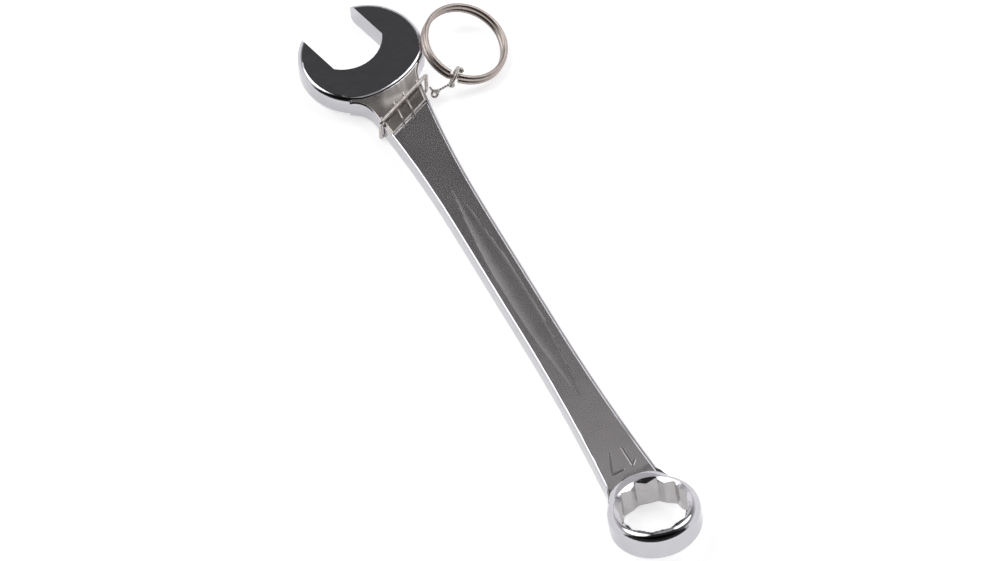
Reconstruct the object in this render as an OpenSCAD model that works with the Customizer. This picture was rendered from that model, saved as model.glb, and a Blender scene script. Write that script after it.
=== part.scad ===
// Combination spanner, open jaw at one end and a cranked twelve-point ring at the other, with a
// wire-lashed split key ring at its neck for a drop-stop lanyard.
//
// Frame: the origin is the centre of the ring socket, +X runs along the shank to the open head,
// +Z is up with the marked face on top, and the spanner lies at rest on a level surface.

/* [Jaw and socket] */
// Size across the flats of the nut
af = 17; // [16:0.5:18]
// Extra width of the open jaw over the nut
jaw_clearance = 0.3; // [0.1:0.05:0.4]
// Extra size of the ring socket over the nut
socket_clearance = 0.15; // [0.05:0.05:0.3]

/* [Ring head] */
// Outer diameter of the ring
ring_d = 24.6; // [24.2:0.2:26]
// Height of the ring along its own axis
ring_h = 9; // [8.5:0.5:10]
// Tilt of the ring from the shank
ring_crank = 15; // [12:1:16]
// Height of the ring's centre over the middle plane of the shank
ring_rise = 2; // [1.5:0.25:2.5]
// Radius of the ring's rounded edges
ring_edge = 2.5; // [1.5:0.25:2.75]
// Outer radius of the chamfer at the mouth of the socket
socket_mouth_r = 10.4; // [10.3:0.05:10.5]

/* [Open head] */
// Distance from the ring's centre to the middle of the open head
head_x = 164.2; // [160:0.2:168]
// Sideways offset of the open head
head_y = 1.9; // [1:0.1:3]
// Angle of the jaw from the shank
jaw_angle = 15; // [13:1:17]
// Thickness of the open head
head_t = 7; // [6.8:0.1:7.2]
// Radius of the open head's rounded edges
head_edge = 1.6; // [1:0.1:1.8]

/* [Shank] */
// Thickness over the raised rims
shank_t = 5.4; // [5.2:0.1:5.6]
// Width of the straight middle
waist_w = 10.6; // [10.2:0.1:11.4]
// Width of each raised rim
rim_w = 0.9; // [0.7:0.1:1.2]
// Depth of the panel between the rims
panel_depth = 0.4; // [0.2:0.1:0.6]
// Length of the long oval dip in each panel
oval_len = 78; // [60:2:80]
// Width of the long oval dip in each panel
oval_w = 6.4; // [5:0.2:7]
// Height of the size mark's digits
digit_h = 6; // [4:0.5:7]

/* [Lashing] */
// Diameter of the turn of wire round the neck
upper_wire_d = 1; // [0.8:0.05:1]
// Diameter of the thin wire and the cross ties
thin_wire_d = 0.5; // [0.4:0.02:0.52]
// Slant of the lashing across the neck
lash_slant = 25; // [24:1:26]

/* [Tether] */
// Mean diameter of the split ring
split_ring_d = 22.6; // [21.8:0.2:22.6]
// Diameter of the split ring's wire
split_wire_d = 1.6; // [1.4:0.05:1.6]
// Lean of the split ring from level
split_tilt = 19; // [19:0.2:20.4]
// Mean radius of the wire loop round the split ring
loop_r = 2.8; // [2.8:0.05:3]
// Diameter of the loop's wire
loop_wire_d = 0.8; // [0.7:0.05:0.8]
// Diameter of the link's wire
link_wire_d = 0.44; // [0.4:0.02:0.46]

/* [Hidden] */
$fn = 96;
eps = 0.01;
gap = 0.03;
round_extra = 0.02;
// Long enough to pass right through or across anything on the spanner
reach = 400;
// How far the neck stays under the flat faces of the open head
head_skin = 0.35;

// Ring head
ring_r = ring_d / 2;
socket_af = af + socket_clearance;
socket_corner_r = socket_af / 2 / cos(30);
mouth_depth = 0.9;
mouth_inner_r = 8.7;
// Low shoulder that carries the ring's top face out over the shank
shoulder_x = 5.5;
shoulder_r = 9.5;
shoulder_h = 5.5;

// Shank outline: straight sides that open out on a long curve at each end
straight_x = [64, 106];
half_w = waist_w / 2;
ring_curve_r = 606;
neck_curve_r = 340;
neck_end_x = 160;
root_fillet_r = 14;
root_start_x = 3;
root_half_w = ring_r - 2;
panel_start_r = ring_r + 1.1;
panel_end_s = 128;
oval_x = 79;
oval_depth = 0.3;
oval_curve_r = (pow(oval_len / 2, 2) + pow(oval_w / 2, 2)) / oval_w;

// Open head, in its own frame: X out of the mouth
cheek_r = 15.5;
cheeks = [[1.6, -2.35], [2.6, 1.2]];
back_r = 24.9;
back_at = [12.12, -1];
head_fillet_r = 6.5;
throat_r = 10.8;
throat_x = 9.1;
jaw_w = af + jaw_clearance;
ramp_top_s = 138.5;
ramp_low_s = 134.2;
head_tip = [16, -8.75];

// How the spanner lies: on the ring's low edge and on the tips of the jaw
edge_x = (ring_r - ring_edge) * cos(ring_crank) - (ring_h / 2 - ring_edge) * sin(ring_crank);
edge_z = ring_rise - (ring_h / 2 - ring_edge) * cos(ring_crank)
       - (ring_r - ring_edge) * sin(ring_crank) - ring_edge;
tip_x = head_point(head_tip).x;
lie = atan((-head_t / 2 - edge_z) / (tip_x - edge_x));
floor_z = -edge_x * sin(lie) + (edge_z + ring_edge - ring_rise) * cos(lie) - ring_edge;

// Size mark
digit_x = 19.5;
digit_w = 3.2;
digit_gap = 1.1;
stroke = 0.8;
digit_raise = 0.25;
// The flag of the one and the slant of the seven
digit_flag = 1.2;
digit_slant = 2.2;

// Lashing: every wire is placed by its distance s along the normal of the slanted lines
upper_s = 132.6;
lower_s = 128.3;
ramp_slope = (head_t / 2 - head_skin - shank_t / 2) / (ramp_top_s - lower_s);
thin_z = shank_t / 2 + gap + thin_wire_d / 2;
upper_low_z = -shank_t / 2 - gap - upper_wire_d / 2;
upper_y = [7.98, -9.95];
thin_y = [6, -6.4];
thin_leg_s = 133.8;
thin_splay = 0.7;
tie_ys = [1.4, -2.2];
tie_start_s = 134.3;
tie_lean = 0.3;

// Tether, in the part's frame
eye_at = [147.7, -10.9, -4.6];
eye_r = 0.95;
eye_wire_d = 0.7;
eye_stem = 2.4;
split_at_xy = [156.85, -24.5];
split_lean_az = -126.2;
split_pitch = split_wire_d + 0.2;
knot_angle = 265;
rise_angle = 265;
rise_half = 9;
end_gap = 7;
ring_steps = 96;
wire_sides = 12;
split_r = split_ring_d / 2;
link_eye_r = (loop_wire_d + link_wire_d) / 2 + 0.1;
twist_d = 1.7;

split_n = [sin(split_tilt) * cos(split_lean_az), sin(split_tilt) * sin(split_lean_az), cos(split_tilt)];
split_down = [cos(split_tilt) * cos(split_lean_az), cos(split_tilt) * sin(split_lean_az), -sin(split_tilt)];
split_side = cross(split_n, split_down);
split_at = [split_at_xy.x, split_at_xy.y,
            floor_z + split_r * sin(split_tilt) + split_pitch / 2 * cos(split_tilt) + split_wire_d / 2 + gap];
knot_out = split_down * cos(knot_angle) + split_side * sin(knot_angle);
knot_along = cross(split_n, knot_out);
knot_at = split_at + split_r * knot_out;
link_far = knot_at + loop_r * knot_out;
link_reach = link_far - eye_at;
eye_out = unit([0, link_reach.y, link_reach.z]);
link_near = eye_at + eye_r * eye_out;
link_dir = unit(link_far - link_near);

function unit(v) = v / norm(v);
function head_point(p) = [head_x + p.x * cos(jaw_angle) - p.y * sin(jaw_angle),
                          head_y + p.x * sin(jaw_angle) + p.y * cos(jaw_angle)];

// Where two circles cross, on the chosen side of the line from the first centre to the second
function circles_meet(a, ra, b, rb, side = -1) =
    let (d = norm(b - a), along = (d * d + ra * ra - rb * rb) / (2 * d), off = sqrt(ra * ra - along * along),
         u = (b - a) / d)
    a + along * u + side * off * [-u.y, u.x];
// Where a small circle round a point touches the long curve round another
function touch(at, curve_at, r) = at + r * unit(at - curve_at);
function square_to(v) = unit(cross(v, abs(v.z) < 0.9 ? [0, 0, 1] : [1, 0, 0]));

// Puts children where the three axes and the point say
module at_axes(p, x, y, z) {
    multmatrix([[x.x, y.x, z.x, p.x], [x.y, y.y, z.y, p.y], [x.z, y.z, z.z, p.z]]) children();
}

// From the shank's own frame, level with its middle plane, to the frame of the spanner at rest
module lying() {
    rotate([0, lie, 0]) translate([0, 0, -ring_rise]) children();
}

module head_frame() {
    translate([head_x, head_y, 0]) rotate([0, 0, jaw_angle]) children();
}

// A straight run of wire with flat ends
module run(a, b, d) {
    z = unit(b - a);
    x = square_to(z);
    at_axes(a, x, cross(z, x), z) cylinder(h = norm(b - a), d = d);
}

// A bent wire with round corners and ends, the rounds a hair thicker than the wire
module bent_wire(path, d) {
    for (i = [0:len(path) - 2]) run(path[i], path[i + 1], d);
    for (p = path) translate(p) sphere(d = d + round_extra);
}

// A closed ring of wire in the plane square to an axis
module wire_ring(p, axis, r, d) {
    x = square_to(axis);
    at_axes(p, x, cross(axis, x), axis) rotate_extrude() translate([r, 0]) circle(d = d);
}

// A disc with rounded edges
module round_disc(r, h, edge) {
    rotate_extrude() {
        translate([0, -h / 2 + edge]) square([r, h - 2 * edge]);
        translate([0, -h / 2]) square([r - edge, h]);
        for (s = [-1, 1]) translate([r - edge, s * (h / 2 - edge)]) circle(edge);
    }
}

// Half plane on the ring side of a slanted line across the neck
module before_line(s) {
    rotate(lash_slant) translate([s - reach, -reach / 2]) square([reach, reach]);
}

// Outline of the shank from the ring to the open head, drawn in by inset
module shank_outline(inset = 0) {
    translate([straight_x[0], -half_w + inset])
        square([straight_x[1] - straight_x[0], waist_w - 2 * inset]);
    difference() {
        translate([root_start_x, -waist_w]) square([straight_x[0] - root_start_x, 2 * waist_w]);
        for (s = [-1, 1]) translate([straight_x[0], s * (half_w + ring_curve_r)])
            circle(ring_curve_r + inset, $fn = 1440);
    }
    difference() {
        translate([straight_x[1], -waist_w]) square([neck_end_x - straight_x[1], 2 * waist_w]);
        for (s = [-1, 1]) translate([straight_x[1], s * (half_w + neck_curve_r)])
            circle(neck_curve_r + inset, $fn = 1080);
    }
}

// Widening where the shank runs into the ring, hollowed by a circle that touches both
module root_outline() {
    curve_at = [straight_x[0], half_w + ring_curve_r];
    at = circles_meet([0, 0], ring_r + root_fillet_r, curve_at, ring_curve_r - root_fillet_r);
    end = touch(at, curve_at, root_fillet_r);
    difference() {
        translate([root_start_x, -root_half_w]) square([end.x - root_start_x, 2 * root_half_w]);
        for (s = [-1, 1]) translate([at.x, s * at.y]) circle(root_fillet_r);
    }
}

// Hollow corner between one side of the neck and the back of the open head
module head_fillet(side) {
    back = head_point(back_at);
    curve_at = [straight_x[1], side * (half_w + neck_curve_r)];
    at = circles_meet(back, back_r + head_fillet_r, curve_at, neck_curve_r - head_fillet_r, side);
    start = touch(at, curve_at, head_fillet_r);
    difference() {
        polygon([at, start, [start.x, 0], back, at + (back - at) * head_fillet_r / (back_r + head_fillet_r)]);
        translate(at) circle(head_fillet_r);
    }
}

module panel_outline() {
    intersection() {
        difference() {
            shank_outline(rim_w);
            circle(panel_start_r);
        }
        before_line(panel_end_s);
    }
}

module oval_outline() {
    intersection_for(s = [-1, 1])
        translate([oval_x, s * (oval_curve_r - oval_w / 2)]) circle(oval_curve_r, $fn = 1440);
}

module digit_strokes(strokes) {
    for (s = strokes) hull() {
        translate(s[0]) circle(d = stroke, $fn = 16);
        translate(s[1]) circle(d = stroke, $fn = 16);
    }
}

// The size mark reads with the ring end up
module size_mark() {
    top = digit_h / 2;
    one_x = -digit_gap / 2 - digit_w / 2;
    seven_x = digit_gap / 2;
    translate([digit_x, 0, shank_t / 2 - panel_depth - eps]) rotate(90)
        linear_extrude(digit_raise) digit_strokes([
            [[one_x, top], [one_x, -top]], [[one_x, top], [one_x - digit_flag, top - digit_flag]],
            [[seven_x, top], [seven_x + digit_w, top]],
            [[seven_x + digit_w, top], [seven_x + digit_w - digit_slant, -top]]]);
}

// Solid shank with the rise of its neck to the thickness of the open head
module shank_solid() {
    linear_extrude(shank_t, center = true) {
        intersection() {
            shank_outline();
            before_line(ramp_top_s);
        }
        root_outline();
    }
    intersection() {
        linear_extrude(head_t, center = true) {
            shank_outline();
            for (side = [-1, 1]) head_fillet(side);
        }
        neck_wedge();
    }
}

// Side view of the neck, swept across it along the slanted lines
module neck_wedge() {
    flat = shank_t / 2;
    full = head_t / 2 - head_skin;
    rotate([0, 0, lash_slant]) rotate([90, 0, 0]) linear_extrude(reach, center = true)
        polygon([[lower_s, 0], [lower_s, flat], [ramp_top_s, full], [neck_end_x, full],
                 [neck_end_x, -full], [ramp_top_s, -full], [ramp_low_s, -flat], [lower_s, -flat]]);
}

module open_head() {
    head_frame() intersection() {
        union() for (c = cheeks) translate(c) round_disc(cheek_r, head_t, head_edge);
        translate(back_at) round_disc(back_r, head_t, head_edge);
    }
}

module jaw_gap() {
    linear_extrude(head_t + 1, center = true) intersection() {
        union() {
            translate([throat_x, 0]) circle(throat_r);
            translate([throat_x, -throat_r]) square([throat_r + jaw_w, 2 * throat_r]);
        }
        translate([throat_x - throat_r - 1, -jaw_w / 2]) square([2 * throat_r + jaw_w + 1, jaw_w]);
    }
}

// Twelve-point socket with a chamfer at each mouth
module socket() {
    for (turn = [0, 30]) rotate(turn) cylinder(h = ring_h + 1, r = socket_corner_r, center = true, $fn = 6);
    for (s = [0, 1]) mirror([0, 0, s]) translate([0, 0, ring_h / 2 - mouth_depth])
        cylinder(h = mouth_depth + eps, r1 = mouth_inner_r, r2 = socket_mouth_r + eps);
}

module spanner_body() {
    color("silver") lying() difference() {
        union() {
            shank_solid();
            open_head();
            translate([0, 0, ring_rise]) rotate([0, ring_crank, 0]) {
                round_disc(ring_r, ring_h, ring_edge);
                translate([shoulder_x, 0, (ring_h - shoulder_h) / 2 - round_extra])
                    round_disc(shoulder_r, shoulder_h, ring_edge);
            }
        }
        translate([0, 0, ring_rise]) rotate([0, ring_crank, 0]) socket();
        head_frame() jaw_gap();
        for (s = [0, 1]) mirror([0, 0, s]) translate([0, 0, shank_t / 2 - panel_depth]) {
            linear_extrude(head_t) panel_outline();
            translate([0, 0, -oval_depth]) linear_extrude(head_t) oval_outline();
        }
    }
    color("silver") lying() size_mark();
}

// Point over the neck at a distance s along the slanted normal and a sideways place y
function on_neck(s, y, z) = [(s - y * sin(lash_slant)) / cos(lash_slant), y, z];
function neck_z(s) = max(0, s - lower_s) * ramp_slope;
function on_top(s, y, z) = on_neck(s, y, thin_z + neck_z(s) + z);

// One closed turn of wire round the neck: a rounded rectangle standing on the slanted line, drawn
// tight over the thin wires on top
module upper_turn() {
    d = upper_wire_d;
    bend = 0.65 * d;
    forward = [cos(lash_slant), sin(lash_slant), 0];
    across = [sin(lash_slant), -cos(lash_slant), 0];
    top_z = thin_z + neck_z(upper_s + d / 2) + thin_wire_d / 2 + gap + d / 2;
    ends = [for (y = upper_y) upper_s * tan(lash_slant) - y / cos(lash_slant)];
    corners = [[ends[0], upper_low_z], [ends[1], upper_low_z], [ends[1], top_z], [ends[0], top_z]];
    color("gainsboro") lying() at_axes(upper_s * forward, across, [0, 0, 1], -forward) for (i = [0:3]) {
        a = corners[i];
        b = corners[(i + 1) % 4];
        start = a + unit(b - a) * bend;
        translate([start.x, start.y, 0]) rotate(90 * i) rotate([0, 90, 0])
            cylinder(h = norm(b - a) - 2 * bend, d = d);
        translate([b.x, b.y, 0]) rotate(90 * i) translate([-bend, bend, 0]) rotate(-90)
            rotate_extrude(angle = 90) translate([bend, 0]) circle(d = d);
    }
}

// Thin wire that lies on the neck along the panel's end, both legs tucked under the thick turn
module thin_wire() {
    path = [on_top(thin_leg_s, thin_y[0] + thin_splay, 0), on_top(lower_s, thin_y[0], 0),
            on_top(lower_s, thin_y[1], 0), on_top(thin_leg_s, thin_y[1] - thin_splay, 0)];
    color("gainsboro") lying() bent_wire(path, thin_wire_d);
}

// Short ties from under the thick turn, over the thin wire and down past it into the panel; each
// run of a tie ends inside the one before it and is a hair thinner
module cross_ties() {
    step = thin_wire_d + gap;
    past_s = lower_s - 1.8 * step;
    color("gainsboro") lying() for (y = tie_ys) {
        path = [on_top(tie_start_s, y, 0), on_top(lower_s + 1.8 * step, y + tie_lean, 0),
                on_top(lower_s, y + 2 * tie_lean, 1.5 * step),
                on_top(past_s, y + 2 * tie_lean, -0.2 * step)];
        for (i = [0:2]) run(path[i], path[i + 1] + unit(path[i + 1] - path[i]) * thin_wire_d / 3,
                            thin_wire_d - i * round_extra);
    }
}

// Closed eye that stands off the turn's right-hand post
module neck_eye() {
    color("gainsboro") {
        wire_ring(eye_at, cross([1, 0, 0], eye_out), eye_r, eye_wire_d);
        bent_wire([eye_at + [eye_r, 0, 0], eye_at + [eye_stem, 0.2, 0]], eye_wire_d - 0.12);
    }
}

// Wire doubled back on itself, with a small closed eye round the neck eye and one round the loop
module link_wire() {
    near = link_near + link_eye_r * unit([0, link_dir.y, link_dir.z]);
    far = link_far - (link_eye_r + link_wire_d / 3) * flat_far();
    beside = 0.4 * link_wire_d * unit(cross(far - near, [1, 0, 0]));
    color("gainsboro") {
        wire_ring(link_near, [1, 0, 0], link_eye_r, link_wire_d);
        wire_ring(link_far, split_n, link_eye_r, link_wire_d);
        for (s = [-1, 1]) run(near + s * beside, far + s * beside, link_wire_d);
    }
}

// Direction from the far eye back to the near one, kept in the far eye's plane
function flat_far() = unit(link_dir - (link_dir * split_n) * split_n);

module ring_loop() {
    color("gainsboro") wire_ring(knot_at, knot_along, loop_r, loop_wire_d);
}

// Twisted-off ends of the loop's wire
module loop_twist() {
    middle = knot_at - (loop_r - 0.1) * knot_out + (loop_wire_d / 2 + twist_d / 2 + gap) * knot_along;
    color("gainsboro") translate(middle) sphere(d = twist_d);
}

// Two flat coils of one wire, joined by a short rise where the ends tuck in
function coil_level(a) = max(-1, min(1, sin(90 * max(-1, min(1, (a - 360) / rise_half)))));
function coil_angle(i) = end_gap + (720 - 2 * end_gap) * i / ring_steps;
function coil_point(i, k) =
    let (a = coil_angle(i), side = 360 * k / wire_sides, out = split_r + split_wire_d / 2 * cos(side))
    [out * cos(a + rise_angle), out * sin(a + rise_angle),
     split_pitch / 2 * coil_level(a) + split_wire_d / 2 * sin(side)];

module split_ring() {
    points = [for (i = [0:ring_steps]) for (k = [0:wire_sides - 1]) coil_point(i, k)];
    sides = [for (i = [0:ring_steps - 1]) for (k = [0:wire_sides - 1])
        let (a = i * wire_sides + k, b = i * wire_sides + (k + 1) % wire_sides)
        [a, b, b + wire_sides, a + wire_sides]];
    caps = [[for (k = [wire_sides - 1:-1:0]) k],
            [for (k = [0:wire_sides - 1]) ring_steps * wire_sides + k]];
    color("rosybrown") at_axes(split_at, split_down, split_side, split_n)
        polyhedron(points, concat(sides, caps), convexity = 4);
}

spanner_body();
upper_turn();
thin_wire();
cross_ties();
neck_eye();
link_wire();
ring_loop();
loop_twist();
split_ring();
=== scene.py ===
"""Looks of a combination spanner with a wire-lashed split key ring at its neck.

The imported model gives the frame. The origin is the centre of the ring socket, +X runs along the
shank to the open head, and +Z is up. Every length here is in metres unless a name says otherwise.
"""

import logging
import math
from dataclasses import dataclass, field
from enum import Enum, IntEnum
from typing import Callable, Sequence

import bmesh
import bpy
from mathutils import Matrix, Vector


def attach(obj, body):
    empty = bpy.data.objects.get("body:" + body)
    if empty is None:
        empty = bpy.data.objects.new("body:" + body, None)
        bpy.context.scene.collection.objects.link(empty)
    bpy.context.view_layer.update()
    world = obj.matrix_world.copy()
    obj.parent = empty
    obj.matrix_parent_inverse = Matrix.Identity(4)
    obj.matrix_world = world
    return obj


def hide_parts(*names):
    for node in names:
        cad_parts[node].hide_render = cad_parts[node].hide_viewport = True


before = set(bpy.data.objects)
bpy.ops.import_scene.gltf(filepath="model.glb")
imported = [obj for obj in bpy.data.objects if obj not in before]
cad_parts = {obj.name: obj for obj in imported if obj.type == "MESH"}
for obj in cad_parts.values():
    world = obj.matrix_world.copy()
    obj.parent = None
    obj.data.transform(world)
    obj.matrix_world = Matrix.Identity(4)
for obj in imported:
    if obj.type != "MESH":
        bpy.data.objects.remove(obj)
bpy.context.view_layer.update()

LOG = logging.getLogger("spanner")
MM = 0.001
PER_METRE = 1000.0  # turns a count per millimetre into a count per metre
SAME_POINT = 1e-7  # corners as near as this are one
CUT_SNAP = 1e-6  # a cut this near to a corner goes through it
LIE = math.radians(0.486348)  # lean of the shank, as it lies on the ring's edge and the jaw
RING_RISE = 2 * MM  # height of the ring's centre over the middle plane of the shank
WHITE = (1.0, 1.0, 1.0, 1.0)


def shank_to_row() -> Matrix:
    """Returns the matrix from the shank's own level frame to the frame of the spanner at rest."""
    return Matrix.Rotation(LIE, 4, "Y") @ Matrix.Translation((0, 0, -RING_RISE))


def made_object(name: str, data: bpy.types.ID) -> bpy.types.Object:
    """Puts a mesh, curve, light or camera into the scene as an object of its own.

    Args:
        name: The object's name.
        data: What it shows.

    Returns:
        The object.
    """
    thing = bpy.data.objects.new(name, data)
    bpy.context.scene.collection.objects.link(thing)
    return thing


# ------------------------------------------------
# Node groups that several finishes share
# ------------------------------------------------


class NodeSheet:
    """A small helper that adds nodes to a tree and links them by name."""

    def __init__(self, tree: bpy.types.NodeTree) -> None:
        """Keeps the tree that the nodes go into.

        Args:
            tree: The material's or group's node tree.
        """
        self.tree = tree

    def add(self, kind: str, **values: object) -> bpy.types.Node:
        """Adds a node and sets its properties.

        Args:
            kind: The node's type name.
            **values: Properties of the node.

        Returns:
            The new node.
        """
        node = self.tree.nodes.new(kind)
        for name, value in values.items():
            setattr(node, name, value)
        return node

    def link(self, out: bpy.types.NodeSocket, into: bpy.types.NodeSocket) -> None:
        """Joins an output to an input."""
        self.tree.links.new(out, into)

    def math(self, operation: str, a: object, b: object = 0.0) -> bpy.types.NodeSocket:
        """Adds a Math node on two sockets or numbers.

        Args:
            operation: The Math node's operation.
            a: A socket or a number.
            b: A socket or a number.

        Returns:
            The node's output.
        """
        node = self.add("ShaderNodeMath", operation=operation)
        for place, value in enumerate((a, b)):
            if isinstance(value, bpy.types.NodeSocket):
                self.link(value, node.inputs[place])
            else:
                node.inputs[place].default_value = value
        return node.outputs[0]

    def place_per_mm(self, place: bpy.types.NodeSocket, per_mm: bpy.types.NodeSocket) -> bpy.types.NodeSocket:
        """Adds the nodes that scale a place in metres by a count per millimetre.

        Args:
            place: The place on the object.
            per_mm: How many features go on a millimetre.

        Returns:
            The scaled place.
        """
        scale = self.add("ShaderNodeVectorMath", operation="SCALE")
        self.link(place, scale.inputs[0])
        self.link(self.math("MULTIPLY", per_mm, PER_METRE), scale.inputs["Scale"])
        return scale.outputs[0]

    def noise(
        self, place: bpy.types.NodeSocket, detail: float, roughness: float = 0.5
    ) -> bpy.types.NodeSocket:
        """Adds a noise whose features are one unit of the place wide.

        Args:
            place: The scaled place.
            detail: How many finer layers it has.
            roughness: How strong the finer layers are.

        Returns:
            The noise, about 0.5 in the middle.
        """
        noise = self.add("ShaderNodeTexNoise")
        noise.inputs["Scale"].default_value = 1.0
        noise.inputs["Detail"].default_value = detail
        noise.inputs["Roughness"].default_value = roughness
        self.link(place, noise.inputs["Vector"])
        return noise.outputs[0]


def new_group(
    name: str, inputs: dict[str, float], outputs: Sequence[str]
) -> tuple[NodeSheet, dict[str, bpy.types.NodeSocket], dict[str, bpy.types.NodeSocket]]:
    """Starts a shader node group that takes a place and numbers and gives numbers back.

    Args:
        name: The group's name.
        inputs: Each number it takes, with its usual value.
        outputs: The names of the numbers it gives.

    Returns:
        The sheet of the group, its inner sources by name, and its inner targets by name.
    """
    tree = bpy.data.node_groups.new(name, "ShaderNodeTree")
    tree.interface.new_socket("Place", in_out="INPUT", socket_type="NodeSocketVector")
    for key, value in inputs.items():
        socket = tree.interface.new_socket(key, in_out="INPUT", socket_type="NodeSocketFloat")
        socket.default_value = value
    for key in outputs:
        tree.interface.new_socket(key, in_out="OUTPUT", socket_type="NodeSocketFloat")
    sheet = NodeSheet(tree)
    source = sheet.add("NodeGroupInput")
    target = sheet.add("NodeGroupOutput")
    sources = {s.name: s for s in source.outputs if s.name}
    targets = {s.name: s for s in target.inputs if s.name}
    return sheet, sources, targets


HAIRLINE_TURNS = (0.35, 1.9, -0.8)  # directions of the three sets of hairlines, in radians
HAIRLINE_TILT = (0.2, 0.1)  # keeps the hairlines out of line with the object's own axes
HAIRLINE_THINNESS = 60.0


def hairline_group() -> bpy.types.NodeTree:
    """Builds the group that draws fine hairlines left by polishing and handling.

    Returns:
        The group, which gives a height from 0 to 1.
    """
    sheet, sources, targets = new_group("hairlines", {"Per mm": 3.0, "Stretch": 9.0}, ["Height"])
    place = sheet.place_per_mm(sources["Place"], sources["Per mm"])
    heights = []
    for turn in HAIRLINE_TURNS:
        mapping = sheet.add("ShaderNodeMapping")
        mapping.inputs["Rotation"].default_value = (*HAIRLINE_TILT, turn)
        stretch = sheet.add("ShaderNodeCombineXYZ")
        sheet.link(sheet.math("DIVIDE", 1.0, sources["Stretch"]), stretch.inputs[0])
        stretch.inputs[1].default_value = 1.0
        stretch.inputs[2].default_value = 1.0
        sheet.link(stretch.outputs[0], mapping.inputs["Scale"])
        sheet.link(place, mapping.inputs["Vector"])
        middle = sheet.math("SUBTRACT", sheet.noise(mapping.outputs[0], 2.0), 0.5)
        thin = sheet.math("SUBTRACT", 1.0, sheet.math("ABSOLUTE", middle))
        heights.append(sheet.math("POWER", thin, HAIRLINE_THINNESS))
    total = sheet.math("ADD", sheet.math("ADD", heights[0], heights[1]), heights[2])
    sheet.link(sheet.math("DIVIDE", total, float(len(HAIRLINE_TURNS))), targets["Height"])
    return sheet.tree


def mottle_group() -> bpy.types.NodeTree:
    """Builds the group that gives soft cloudy patches, such as smudges and thin plating.

    Returns:
        The group, which gives a mask from 0 to 1.
    """
    sheet, sources, targets = new_group("mottle", {"Per mm": 0.2, "Sharpness": 2.0}, ["Mask"])
    place = sheet.place_per_mm(sources["Place"], sources["Per mm"])
    middle = sheet.math("SUBTRACT", sheet.noise(place, 3.0, 0.55), 0.5)
    lifted = sheet.math("ADD", sheet.math("MULTIPLY", middle, sources["Sharpness"]), 0.5)
    clamp = sheet.add("ShaderNodeClamp")
    sheet.link(lifted, clamp.inputs[0])
    sheet.link(clamp.outputs[0], targets["Mask"])
    return sheet.tree


# ------------------------------------------------
# Finishes
# ------------------------------------------------


MIX_A, MIX_B, MIX_RESULT = 6, 7, 2  # a Mix node's colour sockets


@dataclass(frozen=True)
class MetalFinish:
    """A plated or bare metal surface.

    Attributes:
        name: The material's name.
        color: Colour where the metal is clean.
        dull_color: Colour where it is smudged or thinly plated.
        rough: Roughness where it is clean.
        dull_rough: Roughness where it is smudged.
        mottle_per_mm: How fine the cloudy patches are.
        hairline_per_mm: How fine the hairlines are.
        hairline_depth: Depth of the hairlines, in metres.
        wave_per_mm: How fine the slow waves under the polish are.
        wave_depth: Depth of the slow waves, in metres.
    """

    name: str
    color: tuple[float, float, float]
    dull_color: tuple[float, float, float]
    rough: float
    dull_rough: float
    mottle_per_mm: float
    hairline_per_mm: float
    hairline_depth: float
    wave_per_mm: float
    wave_depth: float

    def build(self, hairlines: bpy.types.NodeTree, mottle: bpy.types.NodeTree) -> bpy.types.Material:
        """Builds the material.

        Args:
            hairlines: The shared hairline group.
            mottle: The shared mottle group.

        Returns:
            The finished material.
        """
        material = bpy.data.materials.new(self.name)
        material.use_nodes = True
        sheet = NodeSheet(material.node_tree)
        sheet.tree.nodes.clear()
        place = sheet.add("ShaderNodeTexCoord").outputs["Object"]
        shader = sheet.add("ShaderNodeBsdfPrincipled")
        shader.inputs["Metallic"].default_value = 1.0
        cloud = sheet.add("ShaderNodeGroup", node_tree=mottle)
        cloud.inputs["Per mm"].default_value = self.mottle_per_mm
        sheet.link(place, cloud.inputs["Place"])
        tint = sheet.add("ShaderNodeMix", data_type="RGBA")
        tint.inputs[MIX_A].default_value = (*self.color, 1)
        tint.inputs[MIX_B].default_value = (*self.dull_color, 1)
        sheet.link(cloud.outputs["Mask"], tint.inputs["Factor"])
        sheet.link(tint.outputs[MIX_RESULT], shader.inputs["Base Color"])
        spread = sheet.math("MULTIPLY", cloud.outputs["Mask"], self.dull_rough - self.rough)
        sheet.link(sheet.math("ADD", spread, self.rough), shader.inputs["Roughness"])
        waves = sheet.add("ShaderNodeGroup", node_tree=mottle)
        waves.inputs["Per mm"].default_value = self.wave_per_mm
        waves.inputs["Sharpness"].default_value = 1.0
        sheet.link(place, waves.inputs["Place"])
        slow = self.bump(sheet, waves.outputs["Mask"], self.wave_depth)
        lines = sheet.add("ShaderNodeGroup", node_tree=hairlines)
        lines.inputs["Per mm"].default_value = self.hairline_per_mm
        sheet.link(place, lines.inputs["Place"])
        fine = self.bump(sheet, lines.outputs["Height"], self.hairline_depth)
        sheet.link(slow.outputs["Normal"], fine.inputs["Normal"])
        sheet.link(fine.outputs["Normal"], shader.inputs["Normal"])
        out = sheet.add("ShaderNodeOutputMaterial")
        sheet.link(shader.outputs[0], out.inputs["Surface"])
        return material

    def bump(self, sheet: NodeSheet, height: bpy.types.NodeSocket, depth: float) -> bpy.types.Node:
        """Adds a Bump node of full strength.

        Args:
            sheet: The node sheet.
            height: The relief, from 0 to 1.
            depth: Depth of the relief, in metres.

        Returns:
            The node.
        """
        node = sheet.add("ShaderNodeBump")
        node.inputs["Strength"].default_value = 1.0
        node.inputs["Distance"].default_value = depth
        sheet.link(height, node.inputs["Height"])
        return node


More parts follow.
